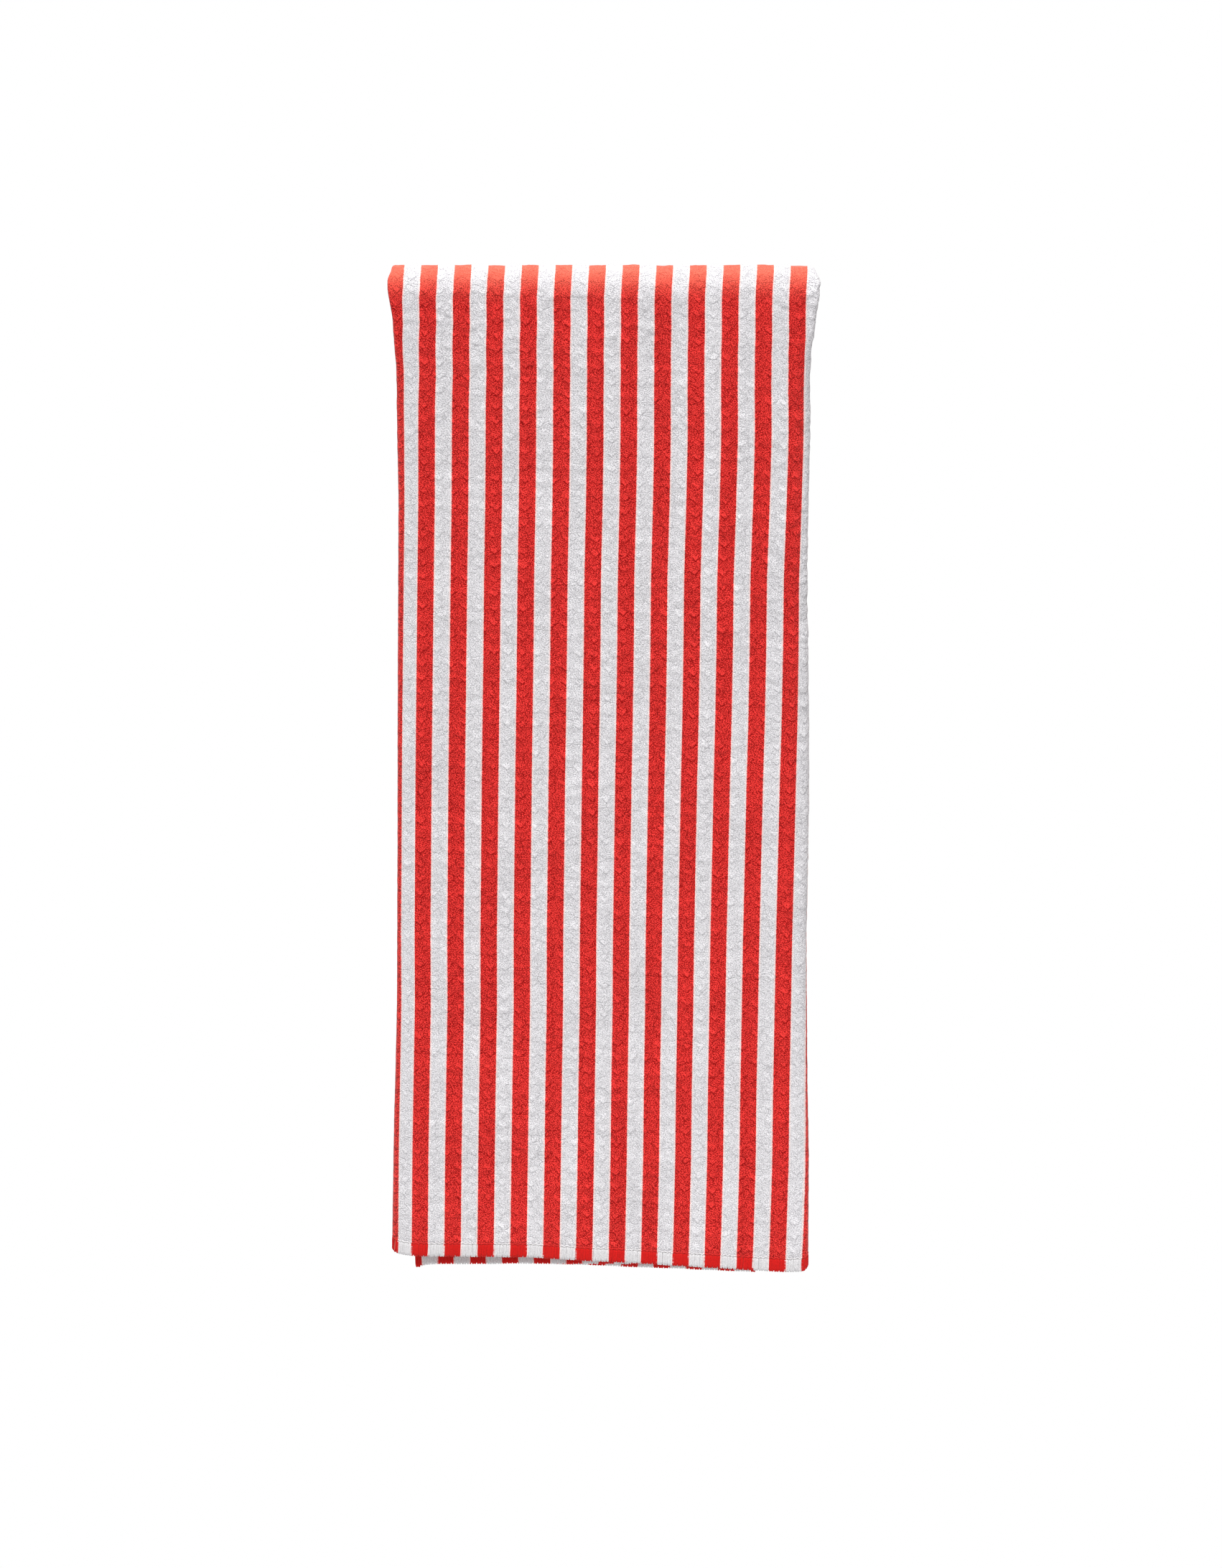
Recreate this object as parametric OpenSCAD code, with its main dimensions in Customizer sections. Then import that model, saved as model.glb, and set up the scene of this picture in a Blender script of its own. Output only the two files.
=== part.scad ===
// Golf towel, folded lengthwise in thirds and hung over a square rail.
// The cloth is one sheet. It is split here where it folds and where it
// leaves the rail, so that each drop can swing on its own hinge line.
//
//   +X  along the rail, to the right as seen from the front
//   -Y  the front, +Y the back
//   +Z  up, with z = 0 on the top face of the rail
//
// Layers, counted outwards from the rail:
//   0  right third of the cloth (its side hem lies near the left fold)
//   1  left third of the cloth (its side hem lies short of the right fold)
//   2  centre third of the cloth, the one that shows

/* [Cloth] */
// Thickness of one layer of looped cloth, pressed by its own weight
layer_t = 1.8; // [1.2:0.1:2.4]
// Width of the folded towel across both side folds
folded_w = 212; // [206:1:240]
// Distance from the left fold to the side hem of the left third
left_third_w = 182; // [150:1:190]
// Distance from the right fold to the side hem of the right third
right_third_w = 198; // [160:1:200]

/* [Rail] */
// Clear width between the two drops, a little over the rail's own width
rail_gap = 14.4; // [12:0.2:30]
// Radius where the cloth bends over each top edge of the rail
rail_edge_r = 1.2; // [0.8:0.1:3]
// Height of the cloth that stays wrapped on the rail, below its top face
saddle_leg = 18; // [14:1:30]

/* [Drops] */
// Length of the front drop below the rail's top face, at the left fold
front_drop_l = 491; // [420:1:540]
// Length of the front drop below the rail's top face, at the right fold
front_drop_r = 498.5; // [420:0.5:540]
// Length of the back drop's centre third, at the left fold
back_drop_l = 494; // [420:1:540]
// Length of the back drop's centre third, at the right fold
back_drop_r = 486; // [420:0.5:540]
// Play between the wrapped part and each drop, at the hinge line
hinge_play = 0.4; // [0.3:0.1:1]

/* [Edges] */
// Height of the flat serged band along each end of the cloth
end_hem_h = 7.2; // [5:0.2:12]
// Depth of the thread loops that wrap the cut edge
stitch_h = 2.4; // [1.5:0.1:4]
// Distance from one thread loop to the next
stitch_pitch = 2.66; // [2:0.02:5]
// Width of the slit between two thread loops
slit_w = 0.5; // [0.3:0.1:1]
// Width of the serged band along each side of the cloth
side_hem_w = 7.2; // [5:0.2:12]

/* [Hidden] */
$fn = 64;

t = layer_t;
core_y = rail_gap / 2 - rail_edge_r;   // centre of the bend over each rail edge
core_z = -rail_edge_r;
fall_z = -saddle_leg - hinge_play / 2; // where a drop begins
leg_z = -saddle_leg + hinge_play / 2;  // where the wrapped part ends

x_lo = -folded_w / 2;
x_hi = folded_w / 2;
lf_x = x_lo + t;          // the left fold is a half round of one layer's radius
rf_x = x_hi - 1.5 * t;    // the right fold goes round the left third's edge
lt_end = x_lo + left_third_w;
rt_end = x_hi - right_third_w;

// distance of layer k's inner face from the middle of the rail
function face_y(k) = rail_gap / 2 + k * t;

// height of a drop's lower edge at x, for a drop of z_l at the left and z_r at the right
function edge_z(x, z_l, z_r) = z_l + (z_r - z_l) * (x - x_lo) / (x_hi - x_lo);

// lower edge of each layer [left, right], outermost layer last
front_edges = [
    [-front_drop_l + 3, -front_drop_r + 3.5],
    [-front_drop_l + 2, -front_drop_r + 2],
    [-front_drop_l, -front_drop_r]
];
back_edges = [
    [-back_drop_l - 3, -back_drop_r - 11],
    [-back_drop_l, -back_drop_r - 16],
    [-back_drop_l, -back_drop_r]
];

cloth_red = [0.84, 0.12, 0.10];
cloth_deep = [0.72, 0.09, 0.08];
cloth_white = [0.93, 0.93, 0.93];
thread_white = [0.97, 0.96, 0.95];

// ---- parts wrapped on the rail ------------------------------------------

// outline of everything up to layer k, seen along the rail
module wrap_outline(k, foot) {
    r = rail_edge_r + k * t;
    translate([-core_y - r, -foot]) square([2 * (core_y + r), foot + core_z]);
    translate([-core_y, -foot]) square([2 * core_y, foot + core_z + r]);
    for (s = [-1, 1]) translate([s * core_y, core_z]) circle(r = r);
}

// one layer over the rail, from x0 to x1
module wrap(k, x0, x1) {
    translate([x0, 0, 0]) rotate([90, 0, 90]) linear_extrude(height = x1 - x0)
        difference() {
            wrap_outline(k + 1, -leg_z);
            wrap_outline(k, 2 * saddle_leg);
        }
}

// half round of a side fold, seen along its length: side -1 left, +1 right
module fold_round(side, r_out, r_in) {
    difference() {
        circle(r = r_out);
        if (r_in > 0) circle(r = r_in);
        translate([-2 * r_out, side < 0 ? 0 : -4 * r_out]) square([4 * r_out, 4 * r_out]);
    }
}

// a side fold carried over the rail, at distance r_path from each bend's centre
module fold_over(side, x, r_path, r_out, r_in) {
    translate([x, 0, 0]) {
        // up each leg
        for (s = [-1, 1])
            translate([0, s * (core_y + r_path), leg_z])
                linear_extrude(height = core_z - leg_z)
                    rotate(-90) fold_round(side, r_out, r_in);
        // round each rail edge
        translate([0, core_y, core_z]) rotate([90, 0, 0]) rotate([0, 90, 0])
            rotate_extrude(angle = 90) translate([r_path, 0]) fold_round(side, r_out, r_in);
        translate([0, -core_y, core_z]) rotate([180, 0, 0]) rotate([0, 90, 0])
            rotate_extrude(angle = 90) translate([r_path, 0]) fold_round(side, r_out, r_in);
        // across the top
        translate([0, core_y, core_z + r_path]) rotate([90, 0, 0])
            linear_extrude(height = 2 * core_y)
                rotate(-90) fold_round(side, r_out, r_in);
    }
}

// ---- parts of a drop -----------------------------------------------------

// flat layer k of a drop, d = -1 front or 1 back, as an outline seen from the front
module layer_of(d, k) {
    translate([0, d < 0 ? -face_y(k) : face_y(k) + t, 0]) rotate([90, 0, 0])
        linear_extrude(height = t) children();
}

// cloth from x0 to x1, down to a height of lift over the lower edge e
module cloth_area(x0, x1, e, lift) {
    polygon([
        [x0, fall_z], [x1, fall_z],
        [x1, edge_z(x1, e[0], e[1]) + lift], [x0, edge_z(x0, e[0], e[1]) + lift]
    ]);
}

// flat serged band over the lower edge e
module hem_area(x0, x1, e) {
    polygon([
        [x0, edge_z(x0, e[0], e[1]) + end_hem_h], [x1, edge_z(x1, e[0], e[1]) + end_hem_h],
        [x1, edge_z(x1, e[0], e[1]) + stitch_h], [x0, edge_z(x0, e[0], e[1]) + stitch_h]
    ]);
}

// thread loops on the lower edge e: a comb with one slit between loops
module stitch_area(x0, x1, e) {
    n = floor((x1 - x0) / stitch_pitch);
    p = (x1 - x0) / n;
    polygon(concat(
        [[x1, edge_z(x1, e[0], e[1]) + stitch_h], [x0, edge_z(x0, e[0], e[1]) + stitch_h]],
        [for (i = [0 : n - 1]) each [
            [x0 + i * p, edge_z(x0 + i * p, e[0], e[1]) + (i == 0 ? 0.3 : 0)],
            [x0 + (i + 1) * p - slit_w, edge_z(x0 + (i + 1) * p, e[0], e[1])],
            if (i < n - 1) [x0 + (i + 1) * p - slit_w, edge_z(x0 + (i + 1) * p, e[0], e[1]) + stitch_h - 0.3],
            if (i < n - 1) [x0 + (i + 1) * p, edge_z(x0 + (i + 1) * p, e[0], e[1]) + stitch_h - 0.3]
        ]],
        [[x1, edge_z(x1, e[0], e[1]) + 0.3]]
    ));
}

module centre_panel(d, e) { layer_of(d, 2) cloth_area(lf_x, rf_x, e[2], end_hem_h); }
module left_third_panel(d, e) { layer_of(d, 1) cloth_area(lf_x, lt_end - side_hem_w, e[1], end_hem_h); }
module right_third_panel(d, e) { layer_of(d, 0) cloth_area(rt_end + side_hem_w, rf_x, e[0], end_hem_h); }
module left_third_side_hem(d, e) { layer_of(d, 1) cloth_area(lt_end - side_hem_w, lt_end, e[1], end_hem_h); }
module right_third_side_hem(d, e) { layer_of(d, 0) cloth_area(rt_end, rt_end + side_hem_w, e[0], end_hem_h); }

module left_fold(d, e) {
    foot = max(edge_z(x_lo, e[2][0], e[2][1]), edge_z(x_lo, e[1][0], e[1][1])) + stitch_h;
    translate([lf_x, d * face_y(2), foot]) linear_extrude(height = fall_z - foot)
        rotate(-90) fold_round(-1, t, 0);
}

module right_fold(d, e) {
    foot = max(edge_z(x_hi, e[2][0], e[2][1]), edge_z(x_hi, e[0][0], e[0][1])) + stitch_h;
    translate([rf_x, d * (face_y(1) + t / 2), foot]) linear_extrude(height = fall_z - foot)
        rotate(-90) fold_round(1, 1.5 * t, 0.5 * t);
}

module end_hem(d, e) {
    layer_of(d, 2) hem_area(lf_x, rf_x, e[2]);
    layer_of(d, 1) hem_area(lf_x, lt_end, e[1]);
    layer_of(d, 0) hem_area(rt_end, rf_x, e[0]);
}

module overlock_stitching(d, e) {
    layer_of(d, 2) stitch_area(lf_x, rf_x, e[2]);
    layer_of(d, 1) stitch_area(lf_x, lt_end, e[1]);
    layer_of(d, 0) stitch_area(rt_end, rf_x, e[0]);
}

// ---- nodes ---------------------------------------------------------------

module saddle_centre_wrap() { color(cloth_red) wrap(2, lf_x, rf_x); }
module saddle_left_third_wrap() { color(cloth_deep) wrap(1, lf_x, lt_end - side_hem_w); }
module saddle_right_third_wrap() { color(cloth_deep) wrap(0, rt_end + side_hem_w, rf_x); }
module saddle_left_fold() { color(cloth_white) fold_over(-1, lf_x, rail_edge_r + 2 * t, t, 0); }
module saddle_right_fold() { color(cloth_red) fold_over(1, rf_x, rail_edge_r + 1.5 * t, 1.5 * t, 0.5 * t); }
module saddle_left_third_side_hem() { color(cloth_white) wrap(1, lt_end - side_hem_w, lt_end); }
module saddle_right_third_side_hem() { color(cloth_white) wrap(0, rt_end, rt_end + side_hem_w); }

module front_centre_panel() { color(cloth_red) centre_panel(-1, front_edges); }
module front_left_third_panel() { color(cloth_deep) left_third_panel(-1, front_edges); }
module front_right_third_panel() { color(cloth_deep) right_third_panel(-1, front_edges); }
module front_left_fold() { color(cloth_white) left_fold(-1, front_edges); }
module front_right_fold() { color(cloth_red) right_fold(-1, front_edges); }
module front_left_third_side_hem() { color(cloth_white) left_third_side_hem(-1, front_edges); }
module front_right_third_side_hem() { color(cloth_white) right_third_side_hem(-1, front_edges); }
module front_end_hem() { color(cloth_white) end_hem(-1, front_edges); }
module front_overlock_stitching() { color(thread_white) overlock_stitching(-1, front_edges); }

module back_centre_panel() { color(cloth_red) centre_panel(1, back_edges); }
module back_left_third_panel() { color(cloth_deep) left_third_panel(1, back_edges); }
module back_right_third_panel() { color(cloth_deep) right_third_panel(1, back_edges); }
module back_left_fold() { color(cloth_white) left_fold(1, back_edges); }
module back_right_fold() { color(cloth_red) right_fold(1, back_edges); }
module back_left_third_side_hem() { color(cloth_white) left_third_side_hem(1, back_edges); }
module back_right_third_side_hem() { color(cloth_white) right_third_side_hem(1, back_edges); }
module back_end_hem() { color(cloth_white) end_hem(1, back_edges); }
module back_overlock_stitching() { color(thread_white) overlock_stitching(1, back_edges); }

saddle_centre_wrap();
saddle_left_third_wrap();
saddle_right_third_wrap();
saddle_left_fold();
saddle_right_fold();
saddle_left_third_side_hem();
saddle_right_third_side_hem();
front_centre_panel();
front_left_third_panel();
front_right_third_panel();
front_left_fold();
front_right_fold();
front_left_third_side_hem();
front_right_third_side_hem();
front_end_hem();
front_overlock_stitching();
back_centre_panel();
back_left_third_panel();
back_right_third_panel();
back_left_fold();
back_right_fold();
back_left_third_side_hem();
back_right_third_side_hem();
back_end_hem();
back_overlock_stitching();
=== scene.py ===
"""Golf towel folded lengthwise in thirds and hung over a square rail.

The cloth is laid out in flat coordinates, u across its width and v along its length, in millimetres. A cross-section
of the folded towel is a path of five stretches: the left third (behind), the left fold, the centre third (the face that
shows), the right fold and the right third (innermost). The path is carried over the rail as a family of nested curves,
from w = 0 on the rail to w = total thickness on the outside.
"""
import math

import bpy
import bmesh
import numpy as np
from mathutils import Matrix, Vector


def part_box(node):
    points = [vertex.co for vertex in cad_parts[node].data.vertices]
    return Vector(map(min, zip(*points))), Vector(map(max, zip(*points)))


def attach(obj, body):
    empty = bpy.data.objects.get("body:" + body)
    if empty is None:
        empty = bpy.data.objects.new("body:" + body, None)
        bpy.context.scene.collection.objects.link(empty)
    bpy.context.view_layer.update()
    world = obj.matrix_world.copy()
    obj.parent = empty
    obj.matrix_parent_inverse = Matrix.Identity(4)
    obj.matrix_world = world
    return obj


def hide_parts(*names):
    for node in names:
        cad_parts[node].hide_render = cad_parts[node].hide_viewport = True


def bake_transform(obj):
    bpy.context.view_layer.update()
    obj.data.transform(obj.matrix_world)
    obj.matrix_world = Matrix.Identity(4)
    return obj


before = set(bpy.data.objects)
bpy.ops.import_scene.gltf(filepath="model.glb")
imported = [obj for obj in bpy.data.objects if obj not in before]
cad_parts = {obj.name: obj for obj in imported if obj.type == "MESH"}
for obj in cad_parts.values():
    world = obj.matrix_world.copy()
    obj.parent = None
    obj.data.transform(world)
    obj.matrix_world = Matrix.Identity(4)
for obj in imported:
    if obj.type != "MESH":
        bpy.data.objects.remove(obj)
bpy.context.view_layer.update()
MM = 0.001
PI = math.pi

# ------------------------------------------------------------------ sizes, in mm, from the CAD frame
_lf, _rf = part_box("saddle_left_fold"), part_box("saddle_right_fold")
X_LO, X_HI = _lf[0].x / MM, _rf[1].x / MM                      # -106, 106
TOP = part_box("saddle_centre_wrap")[1].z / MM                   # 5.4
INNER = -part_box("front_right_third_panel")[1].y / MM           # 7.2, from mid rail to the drop's inner face
FRONT_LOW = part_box("front_overlock_stitching")[0].z / MM
BACK_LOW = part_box("back_overlock_stitching")[0].z / MM

FLAT_W, FLAT_L = 592.0, 1016.0   # u runs from U_MIN, at the left third's free edge, to FLAT_W, at the right third's
U_MIN = 6.4
PERIOD = 16.8            # one red and one white stripe
STRIPE_AT = FLAT_W - 3.4  # a red stripe starts here
H0 = 0.98                # half of one layer's thickness
H_HEM = 0.50             # half of the thickness under the overlock
HEM = 7.2                # depth of the overlocked band
TURN = 1.0               # the threads run past the cloth's cut edge by this much
PITCH = 2.66             # one overlock stitch
V_CREST = 506.5          # v on the rail
Z_TOP = TOP + 2.0        # the pile stands a little proud of the CAD cloth
A_IN, A_ADD = INNER - 0.1, 6.3
R_IN = 1.2                         # the innermost cloth turns tightly over the rail's edge,
RY_ADD, RZ_ADD = 10.2, 15.8        # the outermost in a slow elliptical curve
C1 = A_IN + A_ADD - R_IN - RY_ADD  # half of the flat on top, outer surface
Z1 = Z_TOP - R_IN - RZ_ADD         # where the outer surface turns straight down
_phi = np.linspace(0, PI / 2, 401)
_arc = np.concatenate([[0], np.cumsum(np.hypot((R_IN + RY_ADD) * np.diff(np.sin(_phi)), (R_IN + RZ_ADD) * np.diff(np.cos(_phi))))])
RHO1 = C1 + _arc[-1]
STUB = 30.0              # how far the face piece runs on behind the left fold


def turn(rho):
    """Angle turned over the rail, from 0 on top to a right angle where the cloth hangs straight."""
    return np.interp(np.abs(rho) - C1, _arc, _phi)


def sstep(x):
    x = np.clip(x, 0.0, 1.0)
    return x * x * (3 - 2 * x)


def table(xs, ys, soft):
    """A curve through a few stations: straight between them, then rounded over soft mm."""
    xs, ys = np.array(xs, float), np.array(ys, float)

    def f(x):
        x = np.asarray(x, float)
        out = 0.0
        for d, k in ((-soft, 0.25), (0.0, 0.5), (soft, 0.25)):
            out = out + k * np.interp(x + d, xs, ys)
        return out

    return f


# ------------------------------------------------------------------ noise with fixed seeds
def grid_noise(seed, n=512):
    return np.random.default_rng(seed).random((n, n))


_TABLES = {}


def value_noise(x, y, seed):
    """Smooth noise from 0 to 1, one feature per unit."""
    if seed not in _TABLES:
        _TABLES[seed] = grid_noise(seed)
    tab = _TABLES[seed]
    n = tab.shape[0]
    ix, iy = np.floor(x).astype(int), np.floor(y).astype(int)
    fx, fy = x - ix, y - iy
    fx, fy = fx * fx * (3 - 2 * fx), fy * fy * (3 - 2 * fy)
    a = tab[ix % n, iy % n]
    b = tab[(ix + 1) % n, iy % n]
    c = tab[ix % n, (iy + 1) % n]
    d = tab[(ix + 1) % n, (iy + 1) % n]
    return (a * (1 - fx) + b * fx) * (1 - fy) + (c * (1 - fx) + d * fx) * fy


def plates(x, y, seed, lean):
    """Soft overlapping scales, about one per unit square: domed, with the lower edge raised. lean is +1 where y grows downward."""
    for k in (seed, seed + 1, seed + 2):
        if k not in _TABLES:
            _TABLES[k] = grid_noise(k)
    jx, jy, jh = _TABLES[seed], _TABLES[seed + 1], _TABLES[seed + 2]
    n = jx.shape[0]
    ix, iy = np.floor(x).astype(int), np.floor(y).astype(int)
    total, weight = np.zeros(np.shape(x)), np.full(np.shape(x), 1e-6)
    for ox in (-1, 0, 1):
        for oy in (-1, 0, 1):
            cx, cy = (ix + ox) % n, (iy + oy) % n
            dx = x - (ix + ox + jx[cx, cy])
            dy = y - (iy + oy + jy[cx, cy] + 0.5 * ((ix + ox) % 2))
            d2 = dx * dx + dy * dy
            w = np.exp(-7.0 * d2)
            total += w * (0.25 + 1.1 * jh[cx, cy]) * (1 - 1.0 * d2 + 0.75 * lean * dy)
            weight += w
    return total / weight


def relief(u, v, down):
    """Height of the pile over its mean, in mm. down is -1 on the front, +1 on the back, easing to 0 on the rail."""
    wu = u + 3.6 * (value_noise(u / 7.0, v / 7.0, 3) - 0.5)
    wv = v + 4.4 * (value_noise(u / 7.0 + 40, v / 7.0, 4) - 0.5)
    strong = 0.62 + 0.55 * np.exp(-np.abs(v - V_CREST) / 150.0) + 0.5 * (value_noise(u / 60.0, v / 75.0, 6) - 0.5)
    big = plates(wu / 6.2, wv / 5.0, 11, down) - 0.6
    small = plates(wu / 2.9, wv / 2.5, 21, down) - 0.6
    slow = value_noise(u / 19.0, v / 23.0, 5) - 0.5
    return strong * (0.38 * big + 0.24 * small) + 0.26 * slow


# ------------------------------------------------------------------ the two drops
class Half:
    """One half of the towel, front (sign -1) or back (sign +1)."""

    def __init__(self, name, sign, xl, xr, uls, urs, kappa, zb, ripple):
        self.name, self.sign = name, sign
        self.xl, self.xr, self.uls, self.urs, self.kappa = xl, xr, uls, urs, kappa
        self.zb, self.ripple = zb, ripple

    def frame_at(self, rho):
        """Share of the drop, height of the outer face, thickness, layer pitch, and the ends of the straight part."""
        a = np.abs(rho)
        g = np.clip((a - RHO1) / LENGTH, 0.0, None)
        zn = Z1 + (R_IN + RZ_ADD) * np.cos(turn(rho)) - g * LENGTH
        add = A_ADD + 0.8 * sstep(g / 0.12)
        layer = add / 3.0
        return g, zn, add, layer, self.xl(zn) + layer / 2 + H0, self.xr(zn) - layer - H0

    def flap_len(self, side, rho):
        """Cloth in a flap beyond its fold."""
        g, zn, add, layer, left, right = self.frame_at(rho)
        if side < 0:
            return self.uls(zn) + self.slack(0.0, g) - PI * layer / 2 - U_MIN
        return FLAT_W - self.urs(zn) - self.slack(1.0, g) - PI * layer

    def centre_u(self, t, g):
        """Share of the cloth across the straight part: a little slack gathers right of the middle, low down, and by the folds."""
        beta = 0.045 * g * (1.0 if self.sign < 0 else 0.4)
        bump = 0.14 * (np.tanh((t - 0.707) / 0.14) + math.tanh(0.707 / 0.14))
        full = 0.14 * (math.tanh((1 - 0.707) / 0.14) + math.tanh(0.707 / 0.14))
        return (t + beta * bump) / (1 + beta * full)

    def slack(self, t, g):
        """Extra cloth taken up close to each fold, in mm of u, where the cloth turns away."""
        on = sstep(g / 0.16)
        lx, rx = t * 204.0, (1 - t) * 204.0
        left = 0.22 * soft_plus(8.0 - lx, 0.8)
        right = (0.22 * (1 - sstep((g - 0.72) / 0.25))) * soft_plus(4.0 - rx, 0.8)
        return on * (right - left)

    def place(self, seg, t, rho, n=0.0):
        """Where the cloth is: position in mm, u, v, and the cloth left below it. n is mm out of its mid surface, to the printed side."""
        seg, t, rho, n = np.broadcast_arrays(seg, t, rho, n)
        seg = seg.astype(int)
        t, rho, n = t.astype(float), rho.astype(float), n.astype(float)
        g, zn, add, layer, left, right = self.frame_at(rho)
        w0, w1, w2 = layer * 0.5, layer * 1.5, layer * 2.5
        uls, urs, (kl, kr) = self.uls(zn), self.urs(zn), self.kappa(g)
        th1, th3 = PI * (1 - t), PI * t
        cases = [seg == 0, seg == 1, seg == 2, seg == 3]
        x = np.select(cases, [left + kl * t, left - layer / 2 * np.sin(th1), left + t * (right - left),
                              right + layer * np.sin(th3)], right - kr * t)
        w = np.select(cases, [w1, w2 - layer / 2 + layer / 2 * np.cos(th1), w2, w2 - layer + layer * np.cos(th3)], w0)
        sl, sr = self.slack(0.0, g), self.slack(1.0, g)
        u = np.select(cases, [uls + sl - PI * layer / 2 - t, uls + sl - PI * layer / 2 * (1 - t),
                              uls + (urs - uls) * self.centre_u(t, g) + self.slack(t, g), urs + sr + PI * layer * t],
                      urs + sr + PI * layer + t)
        nx = np.select(cases, [0.0 * t, -np.sin(th1), 0.0 * t, np.sin(th3)], 0.0)
        nw = np.select(cases, [-1.0 + 0 * t, np.cos(th1), 1.0 + 0 * t, np.cos(th3)], -1.0)
        phi = turn(rho)
        n = n * (1 - 0.38 * np.sin(2 * phi) ** 2)  # the layers are pressed thin where they turn
        x, w = x + n * nx, w + n * nw
        f = w / add
        ry, rz, top = R_IN + RY_ADD * f, R_IN + RZ_ADD * f, Z_TOP + (f - 1) * (Z_TOP - 0.1)
        c, z0 = A_IN + A_ADD * f - ry, top - rz
        a = np.abs(rho)
        y = np.where(a < C1, c * a / C1, c + ry * np.sin(phi))
        z = np.where(a < C1, top, z0 + rz * np.cos(phi))
        zb = self.zb(seg, t, x)
        drop = a > RHO1
        y = np.where(drop, A_IN + add * f + self.ripple(x, zn, g), y)
        z = np.where(drop, z0 + (zb - z0) * g, z)
        s = np.where(drop, RHO1 + (z0 - zb) * g, a)
        v = V_CREST + self.sign * np.sign(rho + 1e-9) * s
        below = np.where(drop, (z0 - zb) * (1 - g), (z0 - zb) + RHO1 - a)
        return np.stack([x, self.sign * np.sign(rho + 1e-9) * y, z], -1), u, v, below

    def locate(self, u, rho):
        """The stretch and the place on it of the cloth at u, for a row near the end hem."""
        g, zn, add, layer, left, right = [float(np.ravel(q)[0]) for q in self.frame_at(np.array([rho]))]
        ul0, ur0 = float(self.uls(zn)), float(self.urs(zn))
        uls, urs = ul0 + float(self.slack(0.0, g)), ur0 + float(self.slack(1.0, g))
        u = np.asarray(u, float)
        tt = np.linspace(0, 1, 1025)
        tc = np.interp(u, ul0 + (ur0 - ul0) * self.centre_u(tt, g) + self.slack(tt, g), tt)
        ul, ur = uls - PI * layer / 2, urs + PI * layer
        cases = [u < ul, u < uls, u <= urs, u < ur]
        seg = np.select(cases, [0, 1, 2, 3], 4)
        t = np.select(cases, [ul - u, (u - ul) / (uls - ul), tc, (u - urs) / (ur - urs)], u - ur)
        return seg, t


def soft_plus(x, w):
    return w * np.logaddexp(0, x / w)


# front: outline of the folded cloth down the drop, and the cloth's u where the folds begin
_z = [-500, -487, -437, -365, -293, -221, -113, -77, -48, -34, -23, -16, -10, 0, 2.2, 3.6, 5.0, 6.3]
_xl = [-106.8, -106.5, -105.8, -104.0, -103.8, -103.7, -103.3, -104.0, -104.4, -105.5, -106.2, -107.4, -108.6,
       -109.0, -108.4, -107.9, -107.4, -106.9]
front_xl = table(_z, _xl, 2.0)
_z = [-500, -487, -437, -401, -365, -329, -293, -257, -221, -149, -113, -77, -55, -39, -29, -21, -12, 0, 2.2, 3.6, 5.0, 6.3]
_xr = [102.7, 102.7, 103.0, 102.4, 102.2, 102.0, 102.6, 103.2, 103.2, 102.4, 103.0, 103.9, 103.9, 104.4, 105.8, 106.9,
       108.3, 108.7, 108.4, 107.9, 107.2, 106.4]
front_xr = table(_z, _xr, 2.0)
_z = [-500, -487, -473, -401, -329, -254, -185, -113, -88, -63, -41, -30, -19, -12, -5, 0, 3, 6.3]
front_uls = table(_z, [194.2, 194.3, 194.4, 195.0, 195.6, 195.3, 194.8, 194.3, 193.8, 193.3, 192.2, 191.4, 190.0, 188.8,
                       187.7, 187.6, 188.1, 189.3], 2.0)
front_urs = table(_z, [404.1, 404.0, 403.5, 401.5, 399.6, 398.9, 396.7, 395.1, 394.9, 395.0, 395.5, 396.6, 398.3, 399.3,
                       399.3, 399.0, 398.3, 396.3], 2.0)


def front_hem_outer(x):
    px = 841 + x / 0.36
    y = 1750.0 + 0.0545 * soft_plus(px - 690, 22) + 1.2 * sstep((760 - px) / 90) + 0.6 * sstep((px - 850) / 150)
    y = y - 7.0 * np.exp(-np.clip(px - 546, 0, None) / 14.0) - 4.0 * np.exp(-np.clip(1127 - px, 0, None) / 12.0)
    return -(y - 386) * 0.36


def over_folds(seg, t, left, outer, right):
    """End hem heights of the three layers, eased round the two folds."""
    th = sstep(t)
    return np.select([seg == 0, seg == 1, seg == 2, seg == 3],
                     [left, left + (outer - left) * th, outer, outer + (right - outer) * th], right)


def front_zb(seg, t, x):
    wave = 0.25 * np.sin(x / 7.3) + 0.2 * np.sin(x / 3.1 + 1.0)
    outer = front_hem_outer(np.clip(x, X_LO, X_HI)) + 0.3 * wave
    r = (x - X_LO) / (X_HI - X_LO)
    left = np.maximum(-488.2 - 6.8 * r, outer + 1.8) + 0.3 * wave
    right = np.maximum(-487.4 - 6.8 * r, outer + 2.2) + 0.3 * wave
    return over_folds(seg, t, left, outer, right)


def curl(x, zn, left_mm, right_mm):
    """The folded edges turn back, by so many mm, below the rail."""
    a = sstep((-zn - 16) / 50)
    dl = np.clip((X_LO + 2.4 + 12.5 - x) / 12.5, 0, 1.2) ** 2
    dr = np.clip((x - (X_HI - 3.0 - 12.5)) / 12.5, 0, 1.2) ** 2
    return -a * (left_mm * dl + right_mm * dr)


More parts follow.
